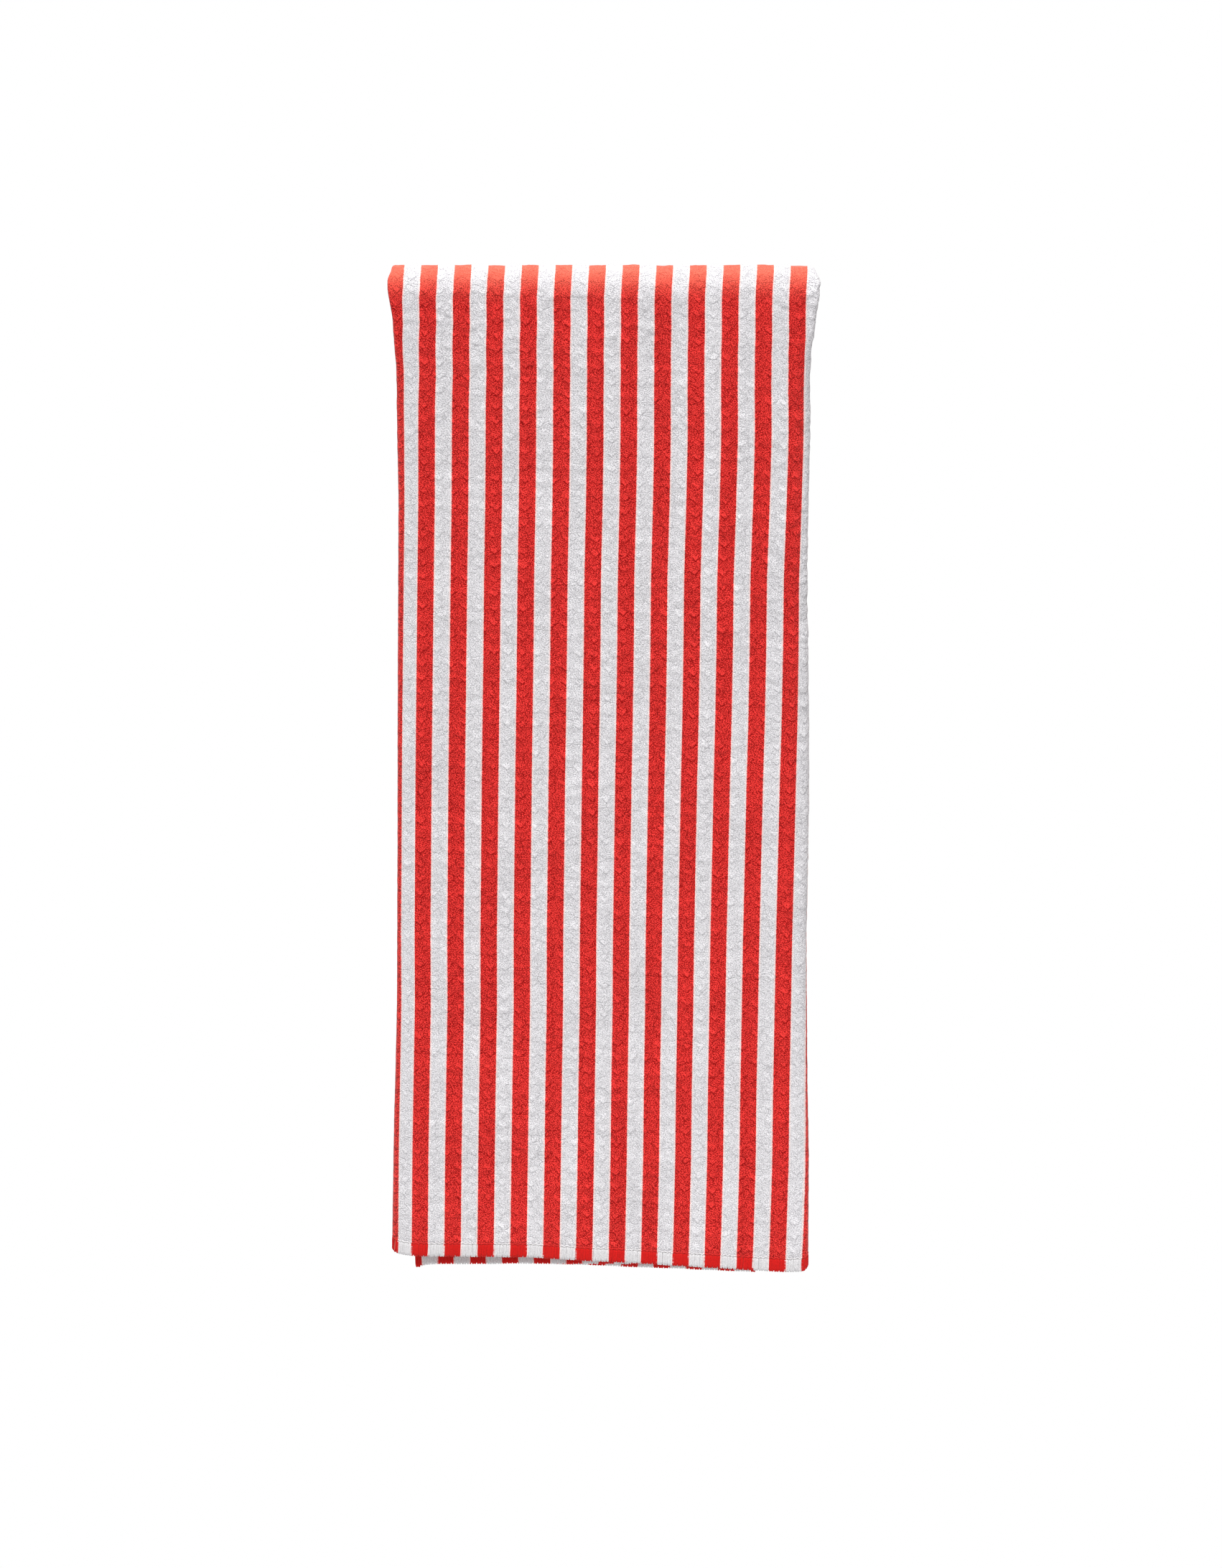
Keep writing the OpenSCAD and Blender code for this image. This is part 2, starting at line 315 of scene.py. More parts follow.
def front_ripple(x, zn, g):
    a = sstep(g / 0.35)
    lean = 0.7 * np.sin(2 * PI * (x + 22) / 96.0 + 0.6 * g) + 0.55 * np.sin(2 * PI * (x - 31) / 61.0 - 0.9 * g)
    slow = 0.8 * np.sin(2 * PI * (g * 0.8 + x / 400.0))
    return a * (lean * (0.35 + 0.65 * g) + slow) + curl(x, zn, 4.6, 4.6 * (1 - 0.75 * sstep((g - 0.72) / 0.25)))


# back: the same cloth, a little narrower, with its layers at their own heights
_away = lambda z: sstep((-z - 20) / 60)
back_xl = lambda z: front_xl(z) + 1.3 * _away(z)
back_xr = lambda z: front_xr(z) - 1.0 * _away(z)
back_uls = lambda z: np.where(z > -20, front_uls(z), 190.2 + 6.6 * sstep((-z - 20) / 460))
back_urs = lambda z: np.where(z > -20, front_urs(z), 399.0 - 15.0 * sstep((-z - 20) / 460))


def back_zb(seg, t, x):
    wave = 0.25 * np.sin(x / 6.1 + 2) + 0.2 * np.sin(x / 2.7)
    r = (x - X_LO) / (X_HI - X_LO)
    outer = -493.8 - 3.0 * r + 5.0 * np.exp(-np.clip(x - X_LO, 0, None) / 8.0) + 0.3 * wave
    left = -493.6 - 9.0 * r + 6.5 * np.exp(-np.clip(x - X_LO, 0, None) / 7.0) + 0.3 * wave
    right = -497.0 + 3.0 * sstep((r - 0.62) / 0.38) - 1.4 * np.exp(-np.clip(x + 93, 0, None) / 2.2) + 0.3 * wave
    return over_folds(seg, t, left, outer, right)


def back_ripple(x, zn, g):
    a = sstep(g / 0.35)
    lean = 0.9 * np.sin(2 * PI * (x - 12) / 88.0 - 0.7 * g) + 0.5 * np.sin(2 * PI * (x + 8) / 57.0)
    slow = 0.8 * np.sin(2 * PI * (0.4 + g * 0.9 - x / 500.0))
    return a * (lean * (0.35 + 0.65 * g) + slow) + curl(x, zn, 3.5, 3.0)


LENGTH = 481.0
RHO_END = RHO1 + LENGTH
RHO_HEM = RHO_END - HEM
FRONT = Half("front", -1, front_xl, front_xr, front_uls, front_urs, lambda g: (1.0, 1.0), front_zb, front_ripple)
BACK = Half("back", 1, back_xl, back_xr, back_uls, back_urs, lambda g: (1 - 0.028 * g, 1 - 0.035 * g), back_zb, back_ripple)


# ------------------------------------------------------------------ meshes
def make_object(name, verts, polys, uv, pile=None, side=None, smooth=None, normals=None):
    """A mesh object. uv is per vertex, in metres of flat cloth; pile and side are per vertex too."""
    me = bpy.data.meshes.new(name)
    me.from_pydata([tuple(p) for p in (np.asarray(verts) * MM).tolist()], [], polys)
    me.update()
    loops = np.empty(len(me.loops), dtype=np.int32)
    me.loops.foreach_get("vertex_index", loops)
    layer = me.uv_layers.new(name="flat")
    layer.data.foreach_set("uv", (np.asarray(uv)[loops] * MM).astype(np.float32).ravel())
    for key, values in (("pile", pile), ("side", side)):
        att = me.attributes.new(key, "FLOAT", "POINT")
        att.data.foreach_set("value", np.asarray(values if values is not None else np.ones(len(verts)), dtype=np.float32))
    flags = np.ones(len(me.polygons), dtype=bool) if smooth is None else np.asarray(smooth, dtype=bool)
    me.polygons.foreach_set("use_smooth", flags)
    if normals is not None:
        vn, count = normals  # normals of the outer vertices, and how many polygons are theirs
        per_loop = np.zeros((len(me.loops), 3), dtype=np.float32)
        last = sum(len(p) for p in polys[:count]) if count < len(polys) else len(me.loops)
        per_loop[:last] = vn[loops[:last]]
        me.normals_split_custom_set(per_loop.tolist())
    ob = bpy.data.objects.new(name, me)
    bpy.context.scene.collection.objects.link(ob)
    return ob


def shell(name, half, columns, rows, out_h, in_h, rough=1.0, coarse=4, fades=()):
    """A closed piece of cloth. columns(rho) gives the stretch and place of each column; out_h and in_h give half thicknesses."""
    rows = np.asarray(rows, float)
    step = rows[1] - rows[0]
    ext = np.concatenate([[rows[0] - step], rows, [rows[-1] + (rows[-1] - rows[-2])]])
    seg, t = columns(ext)                      # (rows+2, columns)
    rho = np.repeat(ext[:, None], seg.shape[1], 1)
    _, u, v, below = half.place(seg, t, rho)
    fade = np.ones_like(u)
    for f in fades:
        fade = fade * f(seg, t, rho, u, below)
    hgt = relief(u, v, half.sign * sstep(np.abs(rho) / 30.0)) * rough * fade if rough else 0 * u
    n = out_h(seg, t, rho, u, below) + hgt
    P, u, v, below = half.place(seg, t, rho, n)
    # normals of the printed face, from its own grid and one row beyond each cut
    dr = np.gradient(P, axis=0)
    dc = np.gradient(P, axis=1)
    N = np.cross(dr, dc)
    up, _, _, _ = half.place(seg, t, rho, n + 0.5)
    flip = np.sum(N * (up - P)) < 0
    if flip:
        N = -N
    N /= np.maximum(np.linalg.norm(N, axis=-1, keepdims=True), 1e-9)
    P, N, u, v, hgt, seg, t, rho = (q[1:-1] for q in (P, N, u, v, hgt, seg, t, rho))
    nr, nc = u.shape
    ri = sorted(set(list(range(0, nr, coarse)) + [nr - 1]))
    ci = sorted(set(list(range(0, nc, coarse)) + [nc - 1]))
    sel = np.ix_(ri, ci)
    hid = -in_h(seg[sel], t[sel], rho[sel], u[sel], None)
    Q, uq, vq, _ = half.place(seg[sel], t[sel], rho[sel], hid)
    base = nr * nc
    F = np.arange(base).reshape(nr, nc)
    B = base + np.arange(len(ri) * len(ci)).reshape(len(ri), len(ci))
    quads = np.stack([F[:-1, :-1], F[1:, :-1], F[1:, 1:], F[:-1, 1:]], -1).reshape(-1, 4).tolist()
    count = len(quads)
    back = np.stack([B[:-1, :-1], B[:-1, 1:], B[1:, 1:], B[1:, :-1]], -1).reshape(-1, 4).tolist()
    rim = []
    for j in range(len(ri) - 1):
        a, b = ri[j], ri[j + 1]
        rim.append([int(F[r, 0]) for r in range(b, a - 1, -1)] + [int(B[j, 0]), int(B[j + 1, 0])])
        rim.append([int(F[r, -1]) for r in range(a, b + 1)] + [int(B[j + 1, -1]), int(B[j, -1])])
    for j in range(len(ci) - 1):
        a, b = ci[j], ci[j + 1]
        rim.append([int(F[-1, c]) for c in range(b, a - 1, -1)] + [int(B[-1, j]), int(B[-1, j + 1])])
        rim.append([int(F[0, c]) for c in range(a, b + 1)] + [int(B[0, j + 1]), int(B[0, j])])
    polys = quads + back + rim
    if flip:
        polys = [p[::-1] for p in polys]
    verts = np.concatenate([P.reshape(-1, 3), Q.reshape(-1, 3)])
    uv = np.concatenate([np.stack([u, v], -1).reshape(-1, 2), np.stack([uq, vq], -1).reshape(-1, 2)])
    # pile height per vertex, which the terry material turns into painted shade in the low parts
    pile = np.concatenate([(0.5 + hgt / 0.9).ravel(), np.full(Q.reshape(-1, 3).shape[0], 0.45)])
    side = np.concatenate([np.ones(base), np.zeros(Q.reshape(-1, 3).shape[0])])
    smooth = [True] * (count + len(back)) + [False] * len(rim)
    vn = np.concatenate([N.reshape(-1, 3), np.zeros((Q.reshape(-1, 3).shape[0], 3))])
    return make_object(name, verts, polys, uv, pile, side, smooth, (vn, count))


def tubes(name, half, seg, t, rho, n, radius, sides=5):
    """Threads: arrays of (thread, ring) on the cloth, each swept with a round section and closed at its ends."""
    P, u, v, _ = half.place(seg, t, rho, n)
    tan = np.gradient(P, axis=1)
    tan /= np.maximum(np.linalg.norm(tan, axis=-1, keepdims=True), 1e-9)
    Pn, _, _, _ = half.place(seg, t, rho, n + 0.4)
    out = Pn - P
    out = out - np.sum(out * tan, -1, keepdims=True) * tan
    bad = np.linalg.norm(out, axis=-1) < 0.05
    out[bad] = np.cross(tan[bad], np.array([1.0, 0.0, 0.0]))
    out /= np.maximum(np.linalg.norm(out, axis=-1, keepdims=True), 1e-9)
    bi = np.cross(tan, out)
    ang = np.linspace(0, 2 * PI, sides, endpoint=False)
    # a little flattened against the cloth, so that neighbours close up
    ring = P[:, :, None, :] + radius[..., None, None] * (0.80 * np.cos(ang)[None, None, :, None] * out[:, :, None, :]
                                                         + 1.20 * np.sin(ang)[None, None, :, None] * bi[:, :, None, :])
    nt, nr = u.shape
    idx = np.arange(nt * nr * sides).reshape(nt, nr, sides)
    nxt = np.roll(idx, -1, axis=2)
    quads = np.stack([idx[:, :-1], nxt[:, :-1], nxt[:, 1:], idx[:, 1:]], -1).reshape(-1, 4).tolist()
    ends = idx[:, 0, ::-1].tolist() + idx[:, -1, :].tolist()
    uv = np.repeat(np.stack([u, v], -1).reshape(-1, 2), sides, 0)
    smooth = [True] * len(quads) + [False] * len(ends)
    return make_object(name, ring.reshape(-1, 3), quads + ends, uv, None, None, smooth)


# ------------------------------------------------------------------ the cloth's parts
def spaced(a, b, step):
    return np.linspace(a, b, max(2, int(round(abs(b - a) / step)) + 1))


COARSE = 1.0
STEP_C, STEP_R, STEP_L = 1.2 * COARSE, 1.9 * COARSE, 2.4 * COARSE


def rows_to_hem(step):
    body = spaced(0, RHO_HEM - 1.6, step)
    return np.concatenate([body, RHO_HEM - np.array([1.05, 0.6, 0.25, 0.0])])


def centre_columns(rho):
    parts = [(0, spaced(STUB, 0, 1.6)[:-1]), (1, spaced(0, 1, 1 / 6)[:-1]), (2, spaced(0, 1, STEP_C / 205)[:-1]),
             (3, spaced(0, 1, 1 / 8)[:-1]), (4, spaced(0, 6, 1.5))]
    seg = np.concatenate([np.full(len(p), s) for s, p in parts])
    t = np.concatenate([p for _, p in parts])
    return np.repeat(seg[None], len(rho), 0), np.repeat(t[None], len(rho), 0)


def flap_columns(half, side, start, step):
    """Columns of a flap from start mm beyond its fold to the hem line, closer together at the hem line."""
    seg_id = 0 if side < 0 else 4

    def f(rho):
        length = half.flap_len(side, rho) - HEM
        s = spaced(0, 1, step / 175)
        body = start + (length[:, None] - 1.6 - start) * s[None]
        t = np.concatenate([body, length[:, None] - np.array([0.9, 0.35, 0.0])[None]], 1)
        if side < 0:
            t = t[:, ::-1]
        return np.full(t.shape, seg_id), t

    return f


def pile_out(seg, t, rho, u, below):
    """Half thickness on the printed side: full on the face, a little less inside, rounding off at the hem lines."""
    h = np.where(seg == 2, H0, 0.84)
    ease = np.select([seg == 1, seg == 3], [sstep(t), 1 - sstep(t)], 0.0)
    h = np.where((seg == 1) | (seg == 3), 0.84 + (H0 - 0.84) * ease, h)
    d = np.minimum(np.clip(RHO_HEM - rho, 0, None), np.minimum(np.clip(u - U_MIN - HEM, 0, None), np.clip(FLAT_W - HEM - u, 0, None)))
    return h - (h - H_HEM - 0.25) * (1 - np.sqrt(np.clip(1 - (1 - np.clip(d / 1.5, 0, 1)) ** 2, 0, 1)))


def pile_in(seg, t, rho, u, below):
    return np.full(np.shape(t), 0.80)


def fade_hems(seg, t, rho, u, below):
    return sstep((RHO_HEM - rho) / 2.4) * sstep((u - U_MIN - HEM) / 2.4) * sstep((FLAT_W - HEM - u) / 2.4)


def fade_inner(seg, t, rho, u, below):
    """Layers that lie against each other are pressed flatter."""
    face = 0.4 + 0.6 * sstep(t * 205 / 9.0) + 0.35 * sstep((t * 205 - 190) / 14.0) * (rho < 260)
    low = 0.5 + 0.5 * (1 - sstep((rho - 300) / 120))
    return np.select([seg == 2, seg == 1, seg == 3, seg == 4], [face, 0.25 + 0.15 * t, 1.35 * low, 0.7], 0.25)


def hem_h(seg, t, rho, u, below):
    return np.full(np.shape(t), H_HEM)


def no_relief(seg, t, rho, u, below):
    return np.zeros(np.shape(t))


def build_half(half, body):
    nm = half.name
    made = {}
    made["centre"] = shell(nm + "_centre_cloth", half, centre_columns, rows_to_hem(STEP_C), pile_out, pile_in,
                           1.0, 4, (fade_hems, fade_inner))
    made["right"] = shell(nm + "_right_third_cloth", half, flap_columns(half, 1, 6.0, STEP_R), rows_to_hem(STEP_R),
                          pile_out, pile_in, 1.0, 3, (fade_hems, fade_inner))
    made["left"] = shell(nm + "_left_third_cloth", half, flap_columns(half, -1, STUB, STEP_L), rows_to_hem(STEP_L),
                         pile_out, pile_in, 1.0, 3, (fade_hems, fade_inner))

    # end hem: a flat band along the whole cross-section
    us = spaced(U_MIN + 0.25, FLAT_W - 0.25, 1.33)
    seg0, t0 = half.locate(us, RHO_END - HEM / 2)

    def end_columns(rho):
        return np.repeat(seg0[None], len(rho), 0), np.repeat(t0[None], len(rho), 0)

    made["end_hem"] = shell(nm + "_end_hem_cloth", half, end_columns, np.linspace(RHO_HEM, RHO_END - TURN, 6), hem_h, hem_h,
                            0.0, 1, (no_relief,))

    # side hems: the same band down the free edge of each flap
    for side, key in ((1, "right"), (-1, "left")):
        def side_columns(rho, side=side):
            length = half.flap_len(side, rho)
            t = length[:, None] - np.array([HEM, 5.6, 4.0, 2.4, TURN])[None]
            if side < 0:
                t = t[:, ::-1]
            return np.full(t.shape, 0 if side < 0 else 4), t

        made[key + "_side_hem"] = shell(nm + "_" + key + "_side_hem_cloth", half, side_columns,
                                        spaced(0, RHO_HEM, 2.4), hem_h, hem_h, 0.0, 1, (no_relief,))

    # overlock on the end hem: four threads to a stitch, from the needle line over the edge to the other face
    per = 4
    count = int((FLAT_W - U_MIN) / PITCH)
    uc = U_MIN + (np.arange(count) + 0.5) * ((FLAT_W - U_MIN) / count)
    r = 0.335
    ang = np.linspace(0, PI, 5)
    lap = H_HEM + r * 0.8
    d_path = np.concatenate([[7.4, 5.4, 3.6, 2.2, 1.3], TURN - lap * 0.75 * np.sin(ang[1:-1]), [1.3, 3.2, 5.2]])
    n_path = np.concatenate([[lap * 0.8, lap, lap, lap, lap], lap * np.cos(ang[1:-1]), [-lap, -lap, -lap * 0.8]])
    pinch = np.interp(d_path, [0, 1.0, 1.5, 4, 7], [0.66, 0.78, 1.0, 1.0, 1.0])
    rnd = np.random.default_rng(71 + half.sign)
    off = (np.arange(per) - (per - 1) / 2) * PITCH / per
    uu = uc[:, None, None] + off[None, :, None] * pinch[None, None, :]
    slant = (d_path - 3.5) * 0.035
    uu = uu + slant[None, None, :] + rnd.normal(0, 0.05, (count, per, 1)) * np.clip(d_path, 0, 3)[None, None, :] / 3
    rr = RHO_END - d_path[None, None, :] - 0.25 * np.cos(off / (PITCH / 2) * PI / 2)[None, :, None] * (d_path < 1.05)[None, None, :]
    nn = n_path[None, None, :] + rnd.normal(0, 0.02, (count, per, 1)) + 0 * uu
    rr = rr + 0 * uu
    uu = uu.reshape(count * per, -1)
    sg, tt = half.locate(np.clip(uu, U_MIN + 0.2, FLAT_W - 0.2), RHO_END - HEM / 2)
    rad = np.full(uu.shape, r) * (1 + rnd.normal(0, 0.05, (count * per, 1)))
    rad[:, 0] *= 0.75
    made["end_threads"] = tubes(nm + "_end_overlock_threads", half, sg, tt, rr.reshape(uu.shape), nn.reshape(uu.shape), rad, 5)

    # needle line: a chain of short loops where the band begins
    k = 7
    s = np.linspace(0, 1, k)
    ul = uc[:, None] + (s[None] - 0.5) * PITCH * 1.12
    dl = HEM - 0.55 + 0.6 * np.sin(s * PI)[None] + rnd.normal(0, 0.05, (count, 1)) - 0.25 * (s - 0.5)[None]
    sg, tt = half.locate(np.clip(ul, U_MIN + 0.2, FLAT_W - 0.2), RHO_END - HEM / 2)
    made["end_loops"] = tubes(nm + "_end_needle_loops", half, sg, tt, RHO_END - dl + 0 * ul,
                              H_HEM + 0.31 + 0.09 * np.sin(s * PI)[None] + 0 * ul, np.full(ul.shape, 0.24), 5)

    # overlock on the side hems, three threads to a stitch
    per = 3
    count = int((RHO_HEM - 4) / PITCH)
    rc = 2.0 + (np.arange(count) + 0.5) * ((RHO_HEM - 4) / count)
    off = (np.arange(per) - 1) * PITCH / per
    d_path = np.array([6.8, 3.9, 1.3, TURN - lap * 0.7, 1.3, 4.9])
    n_path = np.array([lap * 0.9, lap, lap, 0.0, -lap, -lap * 0.85])
    pinch = np.interp(d_path, [0, 1, 1.5, 7], [0.68, 0.80, 1.0, 1.0])
    for side, key in ((1, "right"), (-1, "left")):
        rho = (rc[:, None, None] + off[None, :, None] * pinch[None, None, :]).reshape(count * per, -1)
        length = half.flap_len(side, rho)
        tt = length - np.repeat(d_path[None], count * per, 0)
        nn = np.repeat(n_path[None], count * per, 0)
        made[key + "_side_threads"] = tubes(nm + "_" + key + "_side_overlock_threads", half,
                                            np.full(tt.shape, 0 if side < 0 else 4), tt, rho, nn,
                                            np.full(tt.shape, 0.42), 4)
    return made


# ------------------------------------------------------------------ materials
class Nodes:
    """Short words for building a material's node graph."""

    def __init__(self, name):
        self.mat = bpy.data.materials.new(name)
        self.mat.use_nodes = True
        self.nt = self.mat.node_tree
        self.nt.nodes.clear()
        self.out = self.nt.nodes.new("ShaderNodeOutputMaterial")
        self.bsdf = self.nt.nodes.new("ShaderNodeBsdfPrincipled")
        self.nt.links.new(self.bsdf.outputs[0], self.out.inputs[0])

    def put(self, node, key, value):
        if value is None:
            return
        if isinstance(value, bpy.types.NodeSocket):
            self.nt.links.new(value, node.inputs[key])
        else:
            node.inputs[key].default_value = value

    def math(self, op, a, b=None, c=None, clamp=False):
        n = self.nt.nodes.new("ShaderNodeMath")
        n.operation, n.use_clamp = op, clamp
        for i, x in enumerate((a, b, c)):
            self.put(n, i, x)
        return n.outputs[0]

    def ramp(self, x, a, b, lo=0.0, hi=1.0):
        n = self.nt.nodes.new("ShaderNodeMapRange")
        n.interpolation_type = "SMOOTHSTEP"
        for k, v in ((0, x), (1, a), (2, b), (3, lo), (4, hi)):
            self.put(n, k, v)
        return n.outputs[0]

    def mix(self, f, a, b):
        n = self.nt.nodes.new("ShaderNodeMix")
        n.data_type = "RGBA"
        self.put(n, 0, f)
        self.put(n, 6, a)
        self.put(n, 7, b)
        return n.outputs[2]

    def scale_colour(self, col, f):
        n = self.nt.nodes.new("ShaderNodeVectorMath")
        n.operation = "SCALE"
        self.put(n, 0, col)
        self.put(n, 3, f)
        return n.outputs[0]

    def noise(self, vec, scale, detail=2.0, rough=0.5, distortion=0.0):
        n = self.nt.nodes.new("ShaderNodeTexNoise")
        n.noise_dimensions = "2D"
        self.put(n, "Distortion", distortion)
        self.put(n, "Vector", vec)
        self.put(n, "Scale", scale)
        self.put(n, "Detail", detail)
        self.put(n, "Roughness", rough)
        return n.outputs[0]

    def turned(self, vec, degrees):
        n = self.nt.nodes.new("ShaderNodeVectorRotate")
        n.rotation_type = "Z_AXIS"
        self.put(n, "Vector", vec)
        self.put(n, "Angle", math.radians(degrees))
        return n.outputs[0]

    def edges(self, vec, scale, warp):
        """Distance to the borders of a wandering cell pattern."""
        w = self.nt.nodes.new("ShaderNodeTexNoise")
        w.noise_dimensions = "2D"
        self.put(w, "Vector", vec)
        self.put(w, "Scale", 0.35)
        self.put(w, "Detail", 2.0)
        add = self.nt.nodes.new("ShaderNodeVectorMath")
        add.operation = "MULTIPLY_ADD"
        self.put(add, 0, w.outputs[1])
        self.put(add, 1, (2 * warp, 2 * warp, 0))
        self.put(add, 2, vec)
        n = self.nt.nodes.new("ShaderNodeTexVoronoi")
        n.voronoi_dimensions = "2D"
        n.feature = "DISTANCE_TO_EDGE"
        self.put(n, "Vector", add.outputs[0])
        self.put(n, "Scale", scale)
        return n.outputs[0]

    def attribute(self, name):
        n = self.nt.nodes.new("ShaderNodeAttribute")
        n.attribute_name = name
        return n.outputs["Fac"]

    def flat(self, su=1.0, sv=1.0):
        """Flat cloth coordinates in mm: the vector, u and v."""
        uv = self.nt.nodes.new("ShaderNodeUVMap")
        uv.uv_map = "flat"
        sc = self.nt.nodes.new("ShaderNodeVectorMath")
        sc.operation = "MULTIPLY"
        self.put(sc, 0, uv.outputs[0])
        self.put(sc, 1, (1000.0 * su, 1000.0 * sv, 0.0))
        sep = self.nt.nodes.new("ShaderNodeSeparateXYZ")
        self.put(sep, 0, sc.outputs[0])
        return sc.outputs[0], sep.outputs[0], sep.outputs[1]

    def bump(self, h, strength, dist, below=None):
        n = self.nt.nodes.new("ShaderNodeBump")
        self.put(n, "Strength", strength)
        self.put(n, "Distance", dist)
        self.put(n, "Height", h)
        if below is not None:
            self.put(n, "Normal", below)
        return n.outputs[0]


def srgb(r, g, b):
    def lin(c):
        c /= 255.0
        return c / 12.92 if c <= 0.04045 else ((c + 0.055) / 1.055) ** 2.4
    return (lin(r), lin(g), lin(b), 1.0)


def stripes(k, u, wob):
    """1 on the red stripes, and 1 on the thin cream line along their outer borders."""
    s = k.math("DIVIDE", k.math("SUBTRACT", k.math("ADD", u, wob), STRIPE_AT), PERIOD)
    f = k.math("FRACT", s)
    near = k.math("ABSOLUTE", k.math("SUBTRACT", f, 0.2525))
    far = k.math("SUBTRACT", 1.2525, f)
    d = k.math("MINIMUM", near, far)
    red = k.ramp(d, 0.2525 - 0.012, 0.2525 + 0.012, 1.0, 0.0)
    line = k.math("MULTIPLY", k.ramp(d, 0.2525 + 0.024, 0.2525 + 0.050, 1.0, 0.0), k.math("SUBTRACT", 1.0, red))
    return red, line


RED_LOW, RED_HIGH = (0.30, 0.0002, 0.0008, 1), (0.94, 0.047, 0.041, 1)
WHITE_LOW, WHITE_HIGH = (0.46, 0.447, 0.470, 1), (0.91, 0.89, 0.915, 1)
# the last colour is the paler orange painted over the crest as a highlight
RED_CREST_HIGHLIGHT = (0.84, 0.135, 0.085, 1)
CREAM = (0.95, 0.70, 0.66, 1)


def terry():
    """Short looped pile: colour from dark pits to light tips at about 1 mm, under the stripes."""
    k = Nodes("striped_terry_cloth")
    vec, u, v = k.flat(1.0, 1.45)
    down = k.math("DIVIDE", v, -1.45)
    one, two = k.noise(k.turned(vec, 34), 1.90, 1.0, 0.5), k.noise(k.turned(vec, -19), 1.45, 1.0, 0.5)
    fine = k.math("ADD", k.math("MULTIPLY", one, 0.5), k.math("MULTIPLY", two, 0.5))
    tuft = k.noise(k.turned(vec, 61), 0.42, 2.0, 0.55)
    wide = k.noise(vec, 0.03, 3.0, 0.5)
    loops = k.math("MULTIPLY", k.math("SINE", k.math("MULTIPLY", v, 2 * PI / 1.15)), 0.10)
    wob = k.math("ADD", loops, k.math("MULTIPLY", k.math("SUBTRACT", k.noise(vec, 0.9, 1.0, 0.6), 0.5), 0.40))
    red, line = stripes(k, u, wob)
    # loops catch the light and shade each other: 0 in the pits, 1 on the tips
    crack = k.ramp(k.edges(vec, 0.19, 1.1), 0.02, 0.10, 0.0, 1.0)
    broken = k.ramp(k.noise(vec, 0.13, 1.0, 0.5), 0.42, 0.60)
    crack = k.math("MAXIMUM", crack, broken)
    # the woven cell: one small lapped scale every 7.2 mm each way, with painted light above and painted shade under its
    # V edge
    p = k.math("FRACT", k.math("ADD", k.math("DIVIDE", u, 7.2), k.math("MULTIPLY", k.math("SUBTRACT", k.noise(vec, 0.16, 1.0, 0.5), 0.5), 0.16)))
    q = k.math("FRACT", k.math("ADD", k.math("DIVIDE", k.math("ADD", down, k.math("MULTIPLY", u, -0.035)), 7.2),
                               k.math("MULTIPLY", k.math("SUBTRACT", k.noise(k.turned(vec, 50), 0.16, 1.0, 0.5), 0.5), 0.16)))
    across = k.math("SUBTRACT", p, 0.5)
    under = k.math("ADD", k.math("SUBTRACT", q, 0.82), k.math("MULTIPLY", k.math("ABSOLUTE", across), 0.85))
    under = k.math("ADD", under, k.math("MULTIPLY", k.math("SUBTRACT", fine, 0.5), 0.45))
    lit = k.math("MULTIPLY", k.ramp(under, -0.46, -0.16, 0.0, 1.0), k.ramp(under, -0.03, 0.02, 1.0, 0.0))
    shade = k.math("MULTIPLY", k.ramp(under, -0.03, 0.03, 0.0, 1.0), k.ramp(under, 0.05, 0.16, 1.0, 0.0))
    lit = k.math("MULTIPLY", lit, k.math("MULTIPLY", k.ramp(across, -0.46, -0.22, 0.0, 0.20), k.ramp(across, 0.00, 0.30, 1.0, 0.0)))
    shade = k.math("MULTIPLY", shade, k.math("MULTIPLY", k.ramp(across, -0.36, -0.20, 0.0, 0.36), k.ramp(across, 0.10, 0.50, 1.0, 0.25)))
    uneven = k.ramp(k.noise(k.turned(vec, 25), 0.10, 1.0, 0.5), 0.36, 0.64, 0.35, 1.15)
    scale = k.math("MULTIPLY", k.math("SUBTRACT", lit, shade), uneven)
    # the pile is pressed flatter towards the hems, so its grain is softer there
    dist = k.math("ABSOLUTE", k.math("ADD", down, V_CREST))
    lively = k.ramp(dist, 60.0, 470.0, 1.0, 0.0)
    g = k.math("ADD", k.math("MULTIPLY", k.math("SUBTRACT", fine, 0.5), k.math("ADD", 3.1, k.math("MULTIPLY", lively, 0.9))),
               k.math("MULTIPLY", k.math("SUBTRACT", tuft, 0.5), 0.30))
    # painted shade: colour darker in the low parts of the pile relief, lighter on its high parts
    g = k.math("ADD", g, k.math("MULTIPLY", k.math("SUBTRACT", k.attribute("pile"), 0.5), 0.16))
    # the painted light and shade of the scales goes into the colour here
    g = k.math("ADD", g, k.math("MULTIPLY", scale, k.math("ADD", 1.05, k.math("MULTIPLY", lively, 0.50))))
    g = k.math("ADD", k.math("ADD", g, 0.515), k.math("MULTIPLY", k.math("SUBTRACT", crack, 1.0), 0.22), clamp=True)
    reds = k.mix(k.math("SUBTRACT", k.math("MULTIPLY", g, 2.2), 0.62, clamp=True), RED_LOW, RED_HIGH)
    # painted highlight: over the crest the reds turn a paler orange, where the overhead light falls on the bend
    near = k.ramp(dist, 9.0, 33.0, 1.0, 0.0)
    reds = k.mix(k.math("MULTIPLY", near, near), reds, k.scale_colour(RED_CREST_HIGHLIGHT[:3], k.math("ADD", 0.60, k.math("MULTIPLY", g, 0.70))))
    whites = k.mix(g, WHITE_LOW, WHITE_HIGH)
    col = k.mix(red, whites, reds)
    col = k.mix(k.math("MULTIPLY", line, 0.72), col, CREAM)
